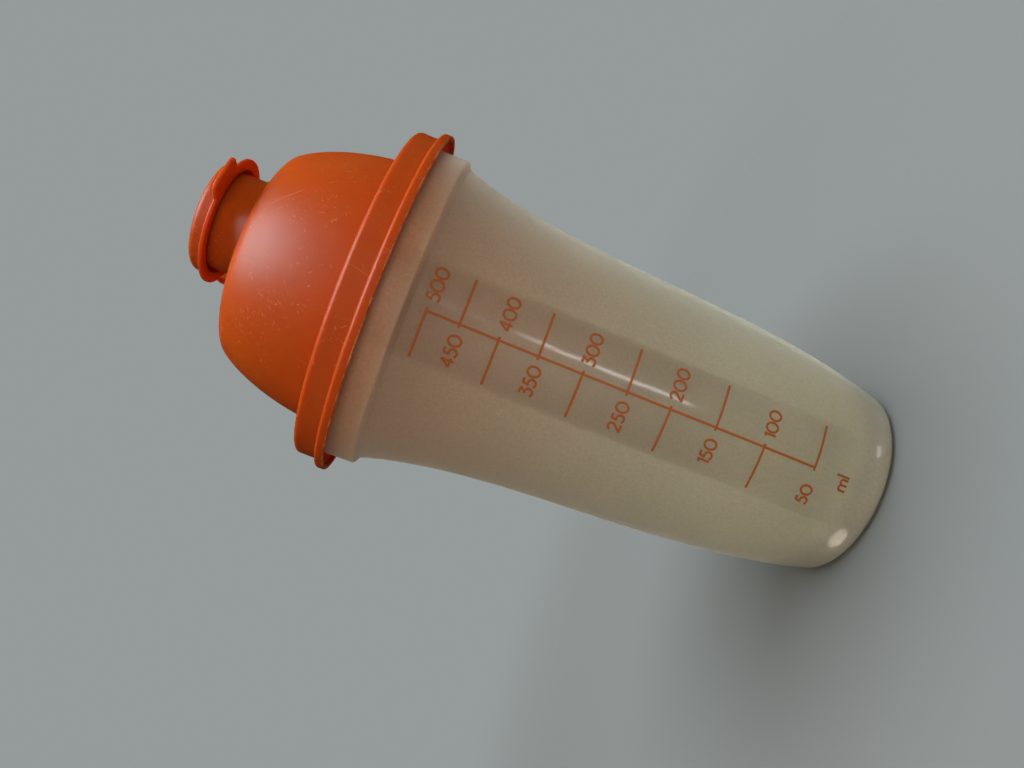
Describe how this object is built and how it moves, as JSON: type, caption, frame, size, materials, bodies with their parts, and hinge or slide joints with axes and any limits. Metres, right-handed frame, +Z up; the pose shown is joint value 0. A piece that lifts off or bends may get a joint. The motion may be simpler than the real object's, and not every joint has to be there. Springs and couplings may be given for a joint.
{
  "type": "mixing shaker",
  "caption": "Drink shaker: tapering translucent beaker with a volume scale, mixing grid in its mouth, domed press-on lid with an offset spout and a hinged flip cap.",
  "frame": {"origin": "centre of the beaker's foot, on the table", "axes": "+Z up the beaker's axis towards the cap; +X towards the spout and the cap's thumb tab; the cap's hinge line lies along Y"},
  "size_m": [0.1028, 0.1028, 0.2004],
  "materials": {
    "frosted_plastic": "frosted translucent polypropylene",
    "orange_plastic": "satin"
  },
  "bodies": {
    "beaker": {"beaker": "frosted_plastic"},
    "mixing_grid": {"mixing_grid": "orange_plastic"},
    "lid": {"lid": "orange_plastic"},
    "flip_cap": {"flip_cap": "orange_plastic"}
  },
  "joints": [
    {"name": "lid_lift", "type": "slide", "parent": "beaker", "child": "lid", "axis": [0, 0, 1], "range_m": [0, 0.045]},
    {"name": "grid_lift", "type": "slide", "parent": "beaker", "child": "mixing_grid", "axis": [0, 0, 1], "range_m": [0, 0.0225]},
    {"name": "cap_flip", "type": "hinge", "parent": "lid", "child": "flip_cap", "pos_m": [-0.009, 0, 0.19585], "axis": [0, -1, 0], "range_deg": [0, 170]}
  ],
  "couplings": [
    {"joint": "grid_lift", "follows": "lid_lift", "ratio": 0.5}
  ]
}
